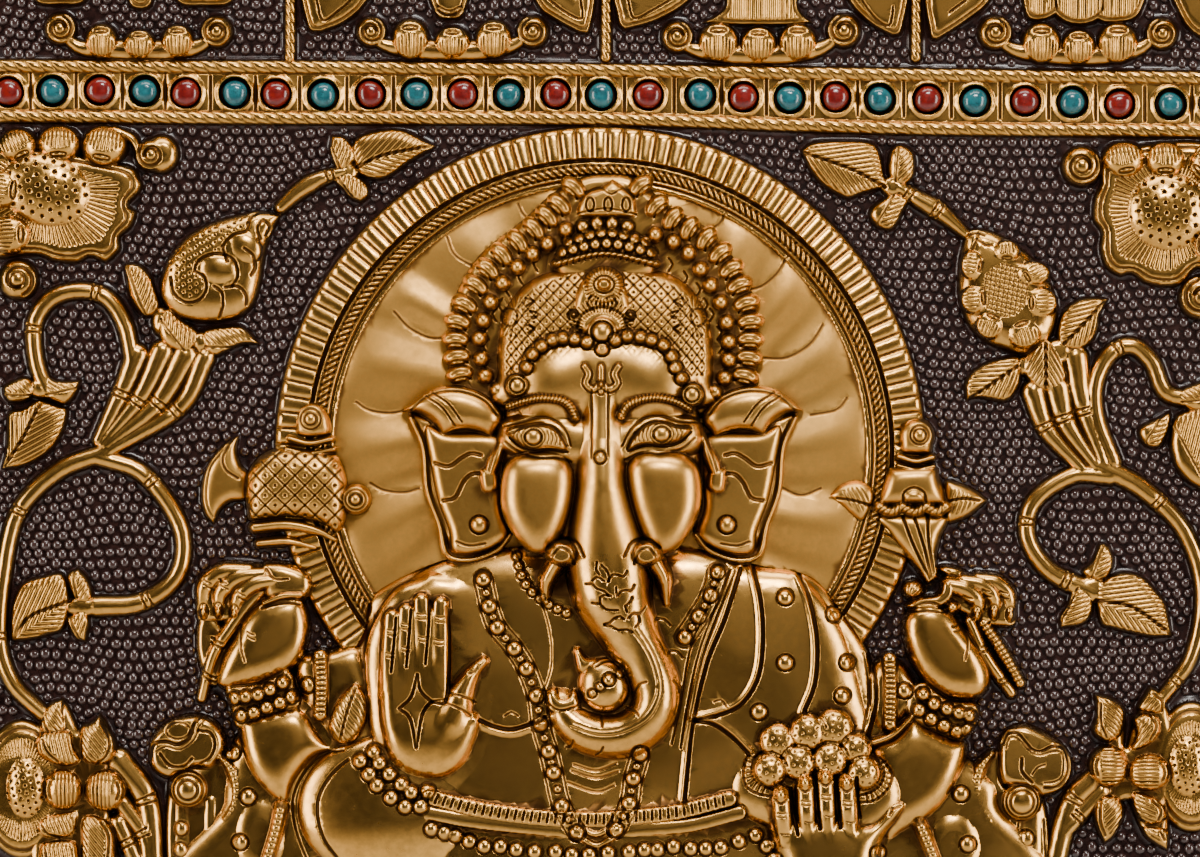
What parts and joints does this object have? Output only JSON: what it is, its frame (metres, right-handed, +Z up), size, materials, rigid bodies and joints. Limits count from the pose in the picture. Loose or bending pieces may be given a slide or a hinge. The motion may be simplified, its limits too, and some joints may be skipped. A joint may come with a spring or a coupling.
{
  "type": "wall plaque",
  "caption": "Rectangular embossed brass relief of a seated elephant-headed figure before a round halo, with vines and a jewelled band.",
  "frame": {"origin": "centre of the flat back, on the wall", "axes": "+X to the viewer's right, +Z up, +Y into the wall; the relief faces -Y"},
  "size_m": [0.36, 0.025, 0.257],
  "materials": {
    "brass_sheet": "polished golden brass relief with brown patina in the hollows, on a dark red-brown lacquered ground",
    "coral_stone": "polished coral red cabochon",
    "turquoise_stone": "polished turquoise cabochon with dark veins"
  },
  "bodies": {
    "root": {"embossed_sheet": "brass_sheet", "coral_1": "coral_stone", "coral_2": "coral_stone", "coral_3": "coral_stone", "coral_4": "coral_stone", "coral_5": "coral_stone", "coral_6": "coral_stone", "coral_7": "coral_stone", "coral_8": "coral_stone", "coral_9": "coral_stone", "coral_10": "coral_stone", "coral_11": "coral_stone", "coral_12": "coral_stone", "coral_13": "coral_stone", "turquoise_1": "turquoise_stone", "turquoise_2": "turquoise_stone", "turquoise_3": "turquoise_stone", "turquoise_4": "turquoise_stone", "turquoise_5": "turquoise_stone", "turquoise_6": "turquoise_stone", "turquoise_7": "turquoise_stone", "turquoise_8": "turquoise_stone", "turquoise_9": "turquoise_stone", "turquoise_10": "turquoise_stone", "turquoise_11": "turquoise_stone", "turquoise_12": "turquoise_stone", "turquoise_13": "turquoise_stone"}
  },
  "joints": []
}
